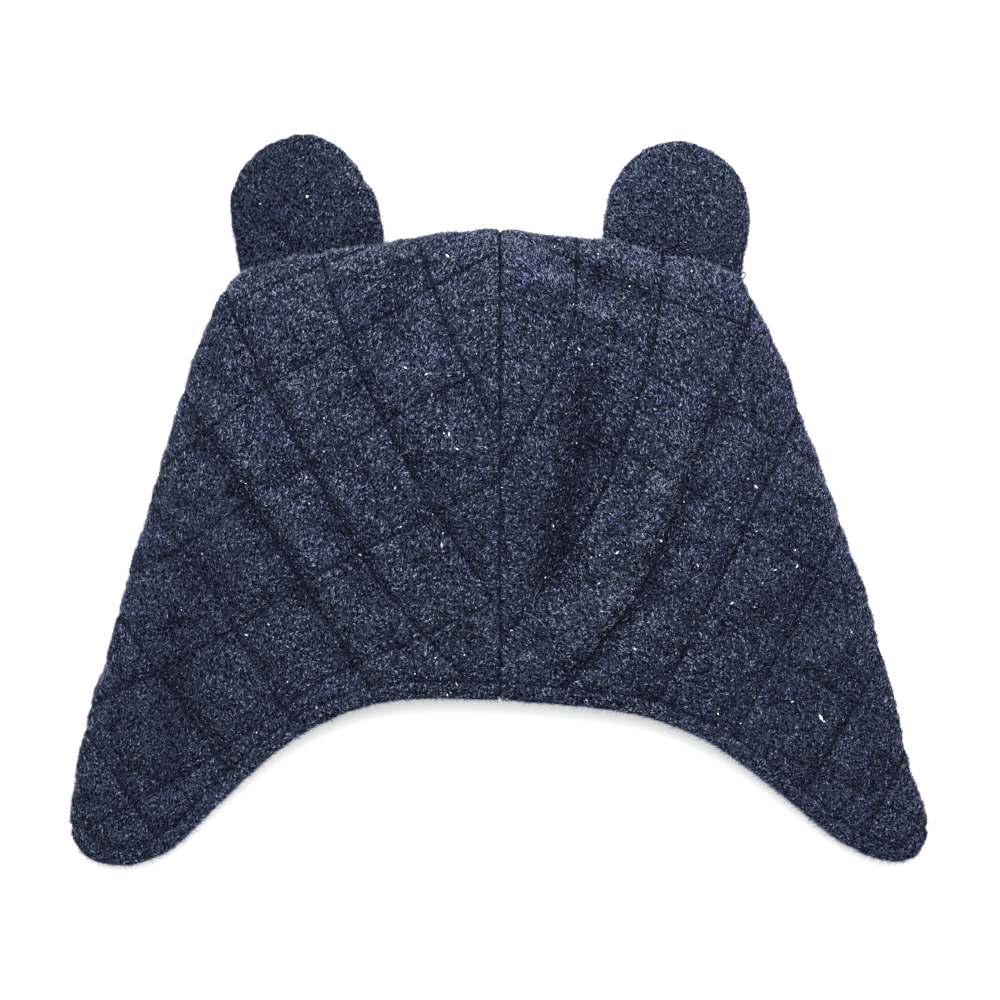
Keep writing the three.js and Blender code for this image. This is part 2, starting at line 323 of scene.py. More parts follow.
def take_over(places, rest, moved, nearest=4):
    """Moves fine points as the coarse ones round them moved."""
    known = KDTree(len(rest))
    for index, place in enumerate(rest):
        known.insert(place, index)
    known.balance()
    shifted = places.copy()
    for index, place in enumerate(places):
        found = known.find_n(place, nearest)
        weights = np.array([1 / (away + TAKEN_OVER_WITHIN) for _, _, away in found])
        steps = np.array([moved[other] for _, other, _ in found])
        shifted[index] += weights @ steps / weights.sum()
    return shifted


def outer_skin(places, facing, tree, reach=60 * MM):
    """1 on the outer skin, and 0 where a line straight out meets the opposite layer."""
    clear = WALL / 2
    return np.array([
        tree.ray_cast(Vector(place + clear * normal), Vector(normal), reach)[0] is None
        for place, normal in zip(places, facing)
    ], float)


# Shaping of the side panels: the cloth is drawn in along its quilting, hem and centre seam, and the
# creases of the near layer are pressed in. The right half is the crumpled one.
CLOTH_VOXEL = 1.05 * MM
CLOTH_SMOOTHINGS = 26
SEAM_UNSMOOTHED = (0.5 * MM, 3 * MM)  # no smoothing nearer the seam than this, and all of it past that
PULL_DEPTH = 0.6 * MM  # right at a line of stitches
PULL_WIDTH = 0.9 * MM
DIP_DEPTH = 1.1 * MM  # of the softer dip on both sides of it
DIP_WIDTH = 4.6 * MM
HEM_DEPTH = 0.8 * MM
INSIDE_SHARE = 0.45  # how far the inner skin is drawn in, the outer one being 1
UPRIGHT_SHARE = 0.5  # how far cloth that stands on edge moves, cloth that lies flat being 1
SEAM_DIP = 1.5 * MM
SEAM_DIP_WIDTH = 2.4 * MM
SEAM_PRESS = 0.2 * MM
SEAM_REACH = 4 * MM
PUCKER = 0.35 * MM
PUCKER_SIZE = 5.5 * MM
PUCKER_REACH = 3 * MM  # on both sides of the stitches
PUCKER_ELSEWHERE = 0.3
WAVE = 0.5 * MM
WAVE_SIZE = 21 * MM
NEAR_BLEND = 3 * MM  # how far above the parting the near layer counts in full
FACING_UP = (0.2, 0.7)  # how far up or down the dip at the seam begins, and is whole
# Creases and ridges of the near layer, in mm: where each begins and ends, its height and its spread.
CREASES = (
    {"from": (14, 76), "to": (27, 65), "height": -3.4, "spread": 3.2},
    {"from": (29, 63.5), "to": (41, 59), "height": -3.6, "spread": 3.4},
    {"from": (4, 72), "to": (17, 62), "height": 2.0, "spread": 3.4},
    {"from": (32, 54.5), "to": (39, 53), "height": 1.8, "spread": 4.0},
    {"from": (27.5, 33), "to": (26, 15), "height": -6.5, "spread": 5.6},
    {"from": (25, 10), "to": (17, -22), "height": -6.5, "spread": 5.6},
    {"from": (66, 24), "to": (58, 2), "height": -1.4, "spread": 3.0},
    {"from": (58, 2), "to": (45, -29), "height": -2.0, "spread": 3.2},
    {"from": (45, -29), "to": (31, -47), "height": -1.4, "spread": 3.0},
    {"from": (31, -47), "to": (17, -50), "height": -1.2, "spread": 3.0},
    {"from": (57, 29), "to": (56, 26), "height": 2.0, "spread": 5.0},
    {"from": (58, 24), "to": (50, 3), "height": 4.0, "spread": 5.0},
    {"from": (50, 0), "to": (37.5, -29), "height": 4.2, "spread": 5.0},
    {"from": (35, -32), "to": (22, -46), "height": 3.0, "spread": 4.6},
    {"from": (92, -30), "to": (84, -66), "height": -1.6, "spread": 5.5},
    {"from": (-95, 25), "to": (-79, 0), "height": -1.8, "spread": 4.2},
    {"from": (-79, 0), "to": (-47, -49), "height": -2.0, "spread": 4.4},
    {"from": (-86, 26), "to": (-70, 0), "height": 2.6, "spread": 4.8},
    {"from": (-70, -2), "to": (-38, -50), "height": 2.2, "spread": 4.8},
    {"from": (-70, 45), "to": (-46, 0), "height": 1.6, "spread": 4.6},
    {"from": (-46, 0), "to": (-31, -24), "height": 1.4, "spread": 4.4},
    {"from": (-55, 0), "to": (-36, -32), "height": -1.4, "spread": 3.8},
    {"from": (-30, 68), "to": (-34, 50), "height": -2.8, "spread": 4.4},
    {"from": (-36, 44), "to": (-42, 30), "height": -1.6, "spread": 4.0},
    {"from": (-38, 44), "to": (-22, 10), "height": 1.2, "spread": 4.4},
    {"from": (-18, -8), "to": (-9, -22), "height": -1.6, "spread": 4.4},
    {"from": (-100, -55), "to": (-101, -70), "height": -3.6, "spread": 6.5},
    {"from": (-98, -68), "to": (-102, -84), "height": -1.8, "spread": 5.0},
    {"from": (-93, -29), "to": (-96, -40), "height": -1.5, "spread": 6.0},
)


def smooth_step(low, high, at):
    share = np.clip((at - low) / (high - low), 0, 1)
    return share * share * (3 - 2 * share)


def soft_noise(places, size, seed):
    """Smooth noise between -1 and 1, with lumps of about this size."""
    shift = Vector((seed * 7.3, seed * 3.1, seed * 5.7))
    return np.array([noise.noise(Vector(place) / size + shift) for place in places])


def crease_height(places):
    total = np.zeros(len(places))
    for crease in CREASES:
        away = to_line(np.array([crease["from"], crease["to"]]) * MM, places[:, :2])
        total += crease["height"] * MM * np.exp(-((away / (crease["spread"] * MM)) ** 2))
    return total


def nearness(places):
    """0 on the far layer and 1 on the near one."""
    return smooth_step(PARTING_HEIGHT, PARTING_HEIGHT + NEAR_BLEND, places[:, 2])


def held_share_of(side):
    def held_share(places):
        stitched = np.exp(-((to_quilting(side, places)[0] / HELD_WIDTH) ** 2))
        hemmed = to_hem(side, places) < HEM_STITCH_IN + HELD_WIDTH
        seamed = np.abs(places[:, 0]) < 2 * HELD_WIDTH
        return np.maximum(stitched, hemmed | seamed)
    return held_share


def shape_panel(side):
    """The fine cloth of one half, and for its points: outer skin, distances to quilting and hem."""
    panel, tree = blanks[side], trees[side]
    rest, moved = swell(panel, held_share_of(side))
    finish_with(panel, "REMESH", mode="VOXEL", voxel_size=CLOTH_VOXEL, use_smooth_shade=True)
    free = panel.vertex_groups.new(name="free")
    for index, place in enumerate(points_of(panel.data)):
        free.add([index], float(smooth_step(*SEAM_UNSMOOTHED, abs(place[0]))), "REPLACE")
    finish_with(panel, "SMOOTH", factor=0.5, iterations=CLOTH_SMOOTHINGS, vertex_group="free")
    panel.vertex_groups.clear()

    start, facing = points_of(panel.data), normals_of(panel.data)
    places = start.copy()
    outer = outer_skin(places, facing, tree)
    stitched, pull = to_quilting(side, places)
    hemmed = to_hem(side, places)
    quilted = pull * smooth_step(HEM_STITCH_IN - MM, HEM_STITCH_IN + MM, hemmed)
    inward = quilted * PULL_DEPTH * np.exp(-((stitched / PULL_WIDTH) ** 2))
    inward += quilted * DIP_DEPTH * np.exp(-stitched / DIP_WIDTH)
    inward += HEM_DEPTH * np.exp(-(((hemmed - HEM_STITCH_IN) / PULL_WIDTH) ** 2))
    inward *= INSIDE_SHARE + (1 - INSIDE_SHARE) * outer
    flat = UPRIGHT_SHARE + (1 - UPRIGHT_SHARE) * np.abs(facing[:, 2:])
    puckered = np.exp(-np.minimum(stitched, np.abs(hemmed - HEM_STITCH_IN)) / PUCKER_REACH)
    outward = PUCKER * (PUCKER_ELSEWHERE + puckered) * soft_noise(places, PUCKER_SIZE, 1)
    outward += WAVE * soft_noise(places, WAVE_SIZE, 2)
    places += flat * (take_over(places, rest, moved) - places)
    places += flat * facing * (outward - inward)[:, None]
    places[:, 2] += nearness(places) * crease_height(places)

    # Beside the centre seam the two halves stay pressed together, and only dip along it.
    out = np.abs(start[:, 0])
    away = smooth_step(0, SEAM_REACH, out)
    places[:, 0] = start[:, 0] + (places[:, 0] - start[:, 0]) * away
    places[:, 0] -= HALVES[side] * SEAM_PRESS * (1 - smooth_step(0, MM, out))
    upward = np.sign(facing[:, 2]) * smooth_step(*FACING_UP, np.abs(facing[:, 2])) * outer
    places[:, 2] -= upward * SEAM_DIP * np.exp(-out / SEAM_DIP_WIDTH)
    places[:, 2] = np.maximum(places[:, 2], 0)
    move_points(panel.data, places)
    return panel, {"outer": outer, "stitched": stitched, "hemmed": hemmed}


panels, skins = {}, {}
for side in HALVES:
    panels[side], skins[side] = shape_panel(side)

# Stitching: the quilting and the topstitching of the turned hem, sewn in dark polyester thread. Each
# row of stitches runs in its channel on the finished cloth, on the near layer and the far one.
STITCH_EVERY = 3.0 * MM
STITCH_SHAPE = np.array(
    [(0, 0, -0.5)]
    + [
        (at, wide * math.cos(turn), wide * math.sin(turn))
        for at, wide in ((0.04, 0.35), (0.5, 0.5), (0.96, 0.35))
        for turn in np.radians((0, 90, 180, 270))
    ]
    + [(1, 0, -0.5)]
)
STITCH_FACES = np.array(
    [(0, 1 + (k + 1) % 4, 1 + k) for k in range(4)]
    + [
        face
        for ring in (1, 5)
        for k in range(4)
        for face in (
            (ring + k, ring + (k + 1) % 4, ring + 4 + k),
            (ring + (k + 1) % 4, ring + 4 + (k + 1) % 4, ring + 4 + k),
        )
    ]
    + [(13, 9 + k, 9 + (k + 1) % 4) for k in range(4)]
)
STITCH_SIZE = (0.88, 0.6 * MM, 0.5 * MM)  # the first is a share of the spacing
THREAD_RAISED = 0.05 * MM
LINES_APART = 4 * MM  # a triangle across which the level changes more than this holds no line
SEAM_CLEAR = 1.2 * MM  # no stitches nearer to the centre seam


def scattered(shape, places, along, up, sizes):
    """Points of many copies of a small shape, each with its x axis along and its z axis up."""
    axes = np.stack([along, np.cross(up, along), up], axis=1)
    return places[:, None, :] + (shape * sizes[:, None, :]) @ axes


def joined_mesh(name, points, faces):
    """One piece made of many small shapes with the same faces."""
    corners = (faces[None] + points.shape[1] * np.arange(len(points))[:, None, None]).reshape(-1)
    mesh = bpy.data.meshes.new(name)
    mesh.vertices.add(points.shape[0] * points.shape[1])
    mesh.vertices.foreach_set("co", points.ravel())
    mesh.loops.add(len(corners))
    mesh.loops.foreach_set("vertex_index", corners)
    mesh.polygons.add(len(corners) // 3)
    mesh.polygons.foreach_set("loop_start", np.arange(0, len(corners), 3))
    mesh.update(calc_edges=True)
    piece = bpy.data.objects.new(name, mesh)
    bpy.context.scene.collection.objects.link(piece)
    return piece


def unit(vectors):
    return vectors / np.maximum(np.linalg.norm(vectors, axis=1, keepdims=True), 1e-12)


def triangles_of(mesh):
    mesh.calc_loop_triangles()
    corners = np.empty(len(mesh.loop_triangles) * 3, np.int32)
    mesh.loop_triangles.foreach_get("vertices", corners)
    return corners.reshape(-1, 3)


def rows_where_zero(mesh, triangles, level, allowed):
    """Rows of (point, normal) along which the level is zero on the allowed part of a mesh."""
    values = level[triangles]
    spread = values.max(axis=1) - values.min(axis=1)
    crossing = (values.min(axis=1) < 0) & (values.max(axis=1) >= 0) & (spread < LINES_APART)
    crossing &= allowed[triangles].all(axis=1)
    places, facing = points_of(mesh), normals_of(mesh)
    neighbours = {}
    for corners in triangles[crossing]:
        cut = []
        for a, b in ((0, 1), (1, 2), (2, 0)):
            a, b = sorted((int(corners[a]), int(corners[b])))
            if (level[a] < 0) != (level[b] < 0):
                cut.append((a, b))
        neighbours.setdefault(cut[0], []).append(cut[1])
        neighbours.setdefault(cut[1], []).append(cut[0])
    rows, seen = [], set()
    for start in sorted(neighbours, key=lambda edge: (len(neighbours[edge]), edge)):
        row, edge = [], start
        while edge is not None and edge not in seen:
            seen.add(edge)
            share = level[edge[0]] / (level[edge[0]] - level[edge[1]])
            row.append([
                each[edge[0]] + share * (each[edge[1]] - each[edge[0]]) for each in (places, facing)
            ])
            edge = next((other for other in neighbours[edge] if other not in seen), None)
        if len(row) > 3:
            rows.append(np.array(row))
    return rows


def stitches_along(rows):
    """Where each stitch of some rows begins, its run to the next hole, and the way it faces."""
    begins, runs, faces = [], [], []
    for row in rows:
        steps = np.linalg.norm(np.diff(row[:, 0], axis=0), axis=1)
        along = np.concatenate([[0], np.cumsum(steps)])
        at = np.arange(0, along[-1], STITCH_EVERY)
        holes = np.column_stack([np.interp(at, along, row[:, 0, k]) for k in range(3)])
        facing = np.column_stack([np.interp(at, along, row[:, 1, k]) for k in range(3)])
        begins.append(holes[:-1])
        runs.append(np.diff(holes, axis=0))
        faces.append(facing[:-1])
    return (np.concatenate(each) for each in (begins, runs, faces))


def sew(name, rows):
    begins, runs, faces = stitches_along(rows)
    length = np.linalg.norm(runs, axis=1)
    along = unit(runs)
    up = unit(faces - along * np.sum(faces * along, axis=1, keepdims=True))
    one = np.ones(len(length))
    sizes = np.column_stack([length * STITCH_SIZE[0], one * STITCH_SIZE[1], one * STITCH_SIZE[2]])
    points = scattered(STITCH_SHAPE, begins + up * THREAD_RAISED, along, up, sizes)
    points[:, :, 2] = np.maximum(points[:, :, 2], 0)
    thread = joined_mesh(name, points, STITCH_FACES)
    thread.data.materials.append(dark_thread)
    thread.data.shade_smooth()
    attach(thread, "root")
    return thread


def thread_material():
    material = bpy.data.materials.new("dark_navy_thread")
    material.use_nodes = True
    skin = material.node_tree.nodes["Principled BSDF"]
    skin.inputs["Base Color"].default_value = (0.0035, 0.0045, 0.010, 1)
    skin.inputs["Roughness"].default_value = 0.6
    skin.inputs["Specular IOR Level"].default_value = 0.06
    return material


dark_thread = thread_material()
for side in HALVES:
    mesh, skin = panels[side].data, skins[side]
    triangles = triangles_of(mesh)
    places = points_of(mesh)
    outside = (skin["outer"] > 0.5) & (np.abs(places[:, 0]) > SEAM_CLEAR)
    quilted = outside & (skin["hemmed"] > HEM_STITCH_IN)
    out, y = along_cloth(side, places), places[:, 1]
    rows = []
    for line in quilting[side]:
        at, value = (y, out) if line["family"] == "steep" else (out, y)
        rows += rows_where_zero(mesh, triangles, value - follow(line, at), quilted)
    sew(f"quilting_thread_{side}", rows)
    rows = rows_where_zero(mesh, triangles, skin["hemmed"] - HEM_STITCH_IN, outside)
    sew(f"hem_thread_{side}", rows)

# Ears: each is two rounds of the same fleece, sewn together round the rim, stuffed, and set into an
# outer corner of the crown. The rim's seam is drawn in all round, and two quilting lines cross the left.
EAR_VOXEL = 0.9 * MM
EAR_SWELL_VOXEL = 2 * MM
EAR_MOST_SWELL = 1.5 * MM
EAR_SMOOTHINGS = 14
RIM_STARTS = (0.8, 0.95)  # shares of the way out from the middle, from none to all of it
RIM_DIP = 0.7 * MM
RIM_WIDTH = MM
TUCKED_IN = 2.4 * MM  # how far the base is set into the crown
TUCK_REACH = 5 * MM
LUMPS = ((0.4 * MM, 6 * MM, 4), (0.5 * MM, 17 * MM, 5))  # height, size and seed
EAR_LINES = {  # in mm, where each line begins and ends, seen from above
    "left": (((-49, 102), (-68, 77)), ((-71, 83), (-60, 74))),
    "right": (),
}


def to_ear_stitches(side, places):
    """Distance in plan from each point to the ear's nearest quilting line."""
    lines = [np.array(line) * MM for line in EAR_LINES[side]]
    far_off = np.full(len(places), np.inf)
    return np.min([far_off] + [to_line(line, places[:, :2]) for line in lines], axis=0)


def shape_ear(side):
    ear = cloth_blank(f"ear_{side}", f"padded_ear_{side}")
    low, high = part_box(f"ear_{side}")
    middle = (low.z + high.z) / 2

    def held_share(places):
        centre = np.array([(low.x + high.x) / 2, (low.y + high.y) / 2])
        away = np.linalg.norm(places[:, :2] - centre, axis=1) / ((high.x - low.x) / 2)
        at_seam = np.exp(-(((places[:, 2] - middle) / HELD_WIDTH) ** 2))
        return np.clip(at_seam * smooth_step(*RIM_STARTS, away), 0, 1)

    rest, moved = swell(ear, held_share, voxel=EAR_SWELL_VOXEL, most=EAR_MOST_SWELL)
    finish_with(ear, "REMESH", mode="VOXEL", voxel_size=EAR_VOXEL, use_smooth_shade=True)
    finish_with(ear, "SMOOTH", factor=0.5, iterations=EAR_SMOOTHINGS)
    places, facing = points_of(ear.data), normals_of(ear.data)
    stitched = to_ear_stitches(side, places)
    inward = PULL_DEPTH * np.exp(-((stitched / PULL_WIDTH) ** 2))
    inward += DIP_DEPTH * np.exp(-stitched / DIP_WIDTH)
    inward *= np.abs(facing[:, 2])
    rim = np.exp(-(((places[:, 2] - middle) / RIM_WIDTH) ** 2)) * (1 - np.abs(facing[:, 2]))
    outward = sum(height * soft_noise(places, size, seed) for height, size, seed in LUMPS)
    places = take_over(places, rest, moved)
    places += facing * (outward - inward - RIM_DIP * rim)[:, None]
    crown = outlines[side]["crown"]
    above = places[:, 1] - np.interp(np.abs(places[:, 0]), crown[:, 0], crown[:, 1])
    places[:, 1] -= TUCKED_IN * (1 - smooth_step(0, TUCK_REACH, above))
    places[:, 2] = np.maximum(places[:, 2], 0)
    move_points(ear.data, places)
    return ear


ears = {side: shape_ear(side) for side in HALVES}

# Fleece: the ground of the cloth under its pile, dense and matted, in dark navy, with flecks where fibres
# catch the light and painted shade, near black, in the hollows between them, following the bump. The
# pattern follows the nap, and is shared by the panels and the ears.
# The first colour is painted shade, near black, for the hollows of the ground and the roots of the tufts.
FLEECE_PAINTED_SHADE = (0.0014, 0.0018, 0.0045, 1)
FLEECE_LIGHT = (0.048, 0.060, 0.106, 1)
NAP = {"left": math.radians(58), "right": math.radians(118)}
FLECK_LENGTH = 1.3 * MM
FLECK_WIDTH = 0.55 * MM
FLECKS_CROSS = 1.1  # angle between the two ways in which flecks lie
FLECK_HEIGHT = 0.5 * MM
MOTTLE_SCALE = 60  # lumps of light and shade for each metre


def nodes_in(tree):
    """A short way to add a node with its settings and inputs: _0 is its first socket, by number."""
    def add(kind, settings=None, **inputs):
        node = tree.nodes.new(kind)
        for name, value in (settings or {}).items():
            setattr(node, name, value)
        for name, value in inputs.items():
            numbered = name[1:].isdigit()
            socket = node.inputs[int(name[1:]) if numbered else name.replace("_", " ")]
            if hasattr(value, "is_output"):
                tree.links.new(value, socket)
            else:
                socket.default_value = value
        return node
    return add


def make_fleece_group():
    group = bpy.data.node_groups.new("fleece_pile", "ShaderNodeTree")
    sockets = group.interface
    sockets.new_socket("Nap", in_out="INPUT", socket_type="NodeSocketFloat")
    sockets.new_socket("Length", in_out="INPUT", socket_type="NodeSocketFloat")
    sockets.new_socket("Width", in_out="INPUT", socket_type="NodeSocketFloat")
    sockets.new_socket("Dark", in_out="INPUT", socket_type="NodeSocketColor")
    sockets.new_socket("Light", in_out="INPUT", socket_type="NodeSocketColor")
    sockets.new_socket("Color", in_out="OUTPUT", socket_type="NodeSocketColor")
    sockets.new_socket("Height", in_out="OUTPUT", socket_type="NodeSocketFloat")
    add = nodes_in(group)
    given = add("NodeGroupInput").outputs
    place = add("ShaderNodeTexCoord").outputs["Object"]
    across = add("ShaderNodeMath", {"operation": "ADD"}, _0=given["Nap"], _1=FLECKS_CROSS).outputs[0]
    tall = add("ShaderNodeMath", {"operation": "DIVIDE"}, _0=1, _1=given["Length"]).outputs[0]
    wide = add("ShaderNodeMath", {"operation": "DIVIDE"}, _0=1, _1=given["Width"]).outputs[0]
    size = add("ShaderNodeCombineXYZ", X=tall, Y=wide, Z=wide).outputs[0]
    flecks = []
    for angle in (given["Nap"], across):
        back = add("ShaderNodeMath", {"operation": "MULTIPLY"}, _0=angle, _1=-1).outputs[0]
        spun = add("ShaderNodeVectorRotate", {"rotation_type": "Z_AXIS"}, Vector=place, Angle=back)
        scaled = add("ShaderNodeVectorMath", {"operation": "MULTIPLY"}, _0=spun.outputs[0], _1=size)
        fleck = add("ShaderNodeTexNoise", Vector=scaled.outputs[0], Scale=1, Detail=2, Roughness=0.6)
        flecks.append(fleck.outputs["Fac"])
    both = add("ShaderNodeMath", {"operation": "MAXIMUM"}, _0=flecks[0], _1=flecks[1]).outputs[0]
    height = add("ShaderNodeMapRange", _0=both, _1=0.5, _2=0.78, _3=0, _4=1).outputs[0]
    mottle = add("ShaderNodeTexNoise", Vector=place, Scale=MOTTLE_SCALE, Detail=3).outputs["Fac"]
    shade = add("ShaderNodeMapRange", _0=mottle, _1=0.3, _2=0.7, _3=0.7, _4=1.3).outputs[0]
    lit = add("ShaderNodeMath", {"operation": "MULTIPLY"}, _0=height, _1=shade).outputs[0]
    color = add("ShaderNodeMix", {"data_type": "RGBA"}, _0=lit, _6=given["Dark"], _7=given["Light"])
    add("NodeGroupOutput", Color=color.outputs[2], Height=height)
    return group


fleece_pile = make_fleece_group()


def fleece_material(name, nap):
    material = bpy.data.materials.new(name)
    material.use_nodes = True
    add = nodes_in(material.node_tree)
    skin = material.node_tree.nodes["Principled BSDF"]
    pattern = add(
        "ShaderNodeGroup", {"node_tree": fleece_pile},
        Nap=nap, Length=FLECK_LENGTH, Width=FLECK_WIDTH, Dark=FLEECE_PAINTED_SHADE, Light=FLEECE_LIGHT,
    )
    bump = add("ShaderNodeBump", Height=pattern.outputs["Height"], Distance=FLECK_HEIGHT, Strength=0.9)
    material.node_tree.links.new(pattern.outputs["Color"], skin.inputs["Base Color"])
    material.node_tree.links.new(bump.outputs["Normal"], skin.inputs["Normal"])
    skin.inputs["Roughness"].default_value = 0.95
    skin.inputs["Specular IOR Level"].default_value = 0
    return material


fleece = {side: fleece_material(f"navy_fleece_{side}", NAP[side]) for side in HALVES}
for side in HALVES:
    for piece, node, cloth_slot, fill in (
        (panels[side], f"side_panel_{side}", "quilted_fleece", 0.3),
        (ears[side], f"ear_{side}", "ear_fleece", 0.5),
    ):
        piece.data.materials.append(fleece[side])
        piece.data.shade_smooth()
        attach(piece, "root")
        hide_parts(node)

# Pile: the longer fibre tips of the fleece, as short tufts of two narrow bent faces that lean along the
# nap. They mat together in small locks, part over the stitches, and end in finer fuzz at the edges.
TUFT = np.array([(0, 0, 0), (0.42, -0.5, 0), (0.42, 0.5, 0), (1, 0, 0.25)])
TUFT_BEND = np.array([(0, 0, 0), (0, 0.5, 0), (0, 0.5, 0), (0, -0.5, 0)])
TUFT_FACES = np.array([(0, 1, 2), (1, 3, 2)])
PILES = {  # length and width are in mm, and lift is the least and the greatest angle to the cloth
    "body": {"length": 1.0, "width": 0.29, "lift": (0.1, 0.7), "tone_and_painted_light": 0.045, "matted": 0.75},
    "ear_left": {"length": 0.9, "width": 0.28, "lift": (0.1, 0.7), "tone_and_painted_light": -0.12, "matted": 0.7},
    "ear_right": {"length": 0.9, "width": 0.28, "lift": (0.1, 0.7), "tone_and_painted_light": 0.02, "matted": 0.5},
    # The fuzz's large offset is painted light on the fibres that stand out at the edges.
    "fuzz": {"length": 1.5, "width": 0.16, "lift": (0.4, 1.3), "tone_and_painted_light": 0.3, "matted": 0},
}
LENGTH_VARIES = 0.28
WIDTH_VARIES = 0.3
BEND_VARIES = 0.8
ROLL_VARIES = 0.6
MOST_ROLL = 1.2
STRAYING = 0.7  # of single tufts from the nap, in radians
NAP_TURNS = 0.5  # of whole patches of nap, in radians
NAP_PATCH = 9 * MM
LOCK = (1.2 * MM, 0.4 * MM)
LOCK_HEIGHT = 0.4 * MM
LOCKS_FADE = (55 * MM, 105 * MM)  # how far out they begin to be lost, and where they no longer change
LOCKS_LOST = 0.75
ROOT_DEPTH = 0.14 * MM
ROOT_BEHIND = 0.4  # of a tuft's length
SCATTER = 0.6 * MM
SHADE_CELL = 2.2 * MM
SHADE_SPREAD = 0.85
SHADE_LIMITS = (0.02, 0.98)
HEM_PULL = 0.6
SEAM_PARTED = 0.05 * MM
PARTED = 0.25 * MM  # how near a tuft may come to a line of stitches
# The pile's tips are finer where the cloth turns over, and there a painted sheen makes them paler, less
# so on the crown's side, which faces the softbox. By the height of the creases, tufts on ridges get
# painted light and tufts in creases painted shade.
FINER_AT_FOLDS = 0.4
PAINTED_SHEEN_AT_FOLDS = 0.6
LESS_PAINTED_SHEEN_AT_CROWN = 0.8
PAINTED_RIDGE_LIGHT_AND_CREASE_SHADE = 32  # for each metre of height
MOST_PAINTED_SHADE = -0.25
MOST_PAINTED_LIGHT = 0.25
PATCH_SIZE = 14 * MM  # of the two tones
PATCH_CONTRAST = 0.9
TONES = 8
# The lowest stop, near black, paints the deep shade in the gaps between fibres on the darkest tufts.
SHADES_AT = (0.3, 0.62, 0.86)
GREENISH = (
    (0.0015, 0.002, 0.004),
    (0.010, 0.0135, 0.024),
    (0.057, 0.073, 0.114),
    (0.142, 0.177, 0.252),
    (0.285, 0.337, 0.430),
)
BLUISH = (
    (0.0015, 0.002, 0.005),
    (0.010, 0.012, 0.032),
    (0.057, 0.067, 0.150),
    (0.142, 0.164, 0.300),
    (0.262, 0.298, 0.472),
)


def strew_over(mesh, chosen, count, rng):
    """Places near the chosen points of a mesh, evenly spread, with the normals there."""
    spots = np.flatnonzero(chosen)
    order = np.concatenate([rng.permutation(spots) for _ in range(count // len(spots) + 1)])[:count]
    facing = normals_of(mesh)[order]
    step = rng.uniform(-SCATTER, SCATTER, (count, 3))
    step -= facing * np.sum(step * facing, axis=1, keepdims=True)
    return points_of(mesh)[order] + step, facing


def mixed_shades(places, rng):
    """Shades from 0 to 1, so that every small cell of the cloth holds the whole range."""
    cell = np.floor(places / SHADE_CELL).astype(np.int64)
    cell = (cell[:, 0] * 4096 + cell[:, 1]) * 4096 + cell[:, 2]
    order = np.lexsort((rng.random(len(cell)), cell))
    _, first, size = np.unique(cell[order], return_index=True, return_counts=True)
    rank = np.arange(len(cell)) - np.repeat(first, size)
    shade = np.empty(len(cell))
    shade[order] = (rank + rng.random(len(cell))) / np.repeat(size, size)
    return np.clip(shade, *SHADE_LIMITS)


def matted(places, nap, seed):
    """Locks of pile that lie together along the nap, from -1 to 1, most marked in the hat's middle."""
    along = places[:, 0] * math.cos(nap) + places[:, 1] * math.sin(nap)
    across = places[:, 1] * math.cos(nap) - places[:, 0] * math.sin(nap)
    in_locks = np.column_stack([along / LOCK[0], across / LOCK[1], places[:, 2] / LOCK[1]])
    lost = LOCKS_LOST * smooth_step(*LOCKS_FADE, np.abs(places[:, 0]))
    return soft_noise(in_locks, 1, seed) * (1 - lost)


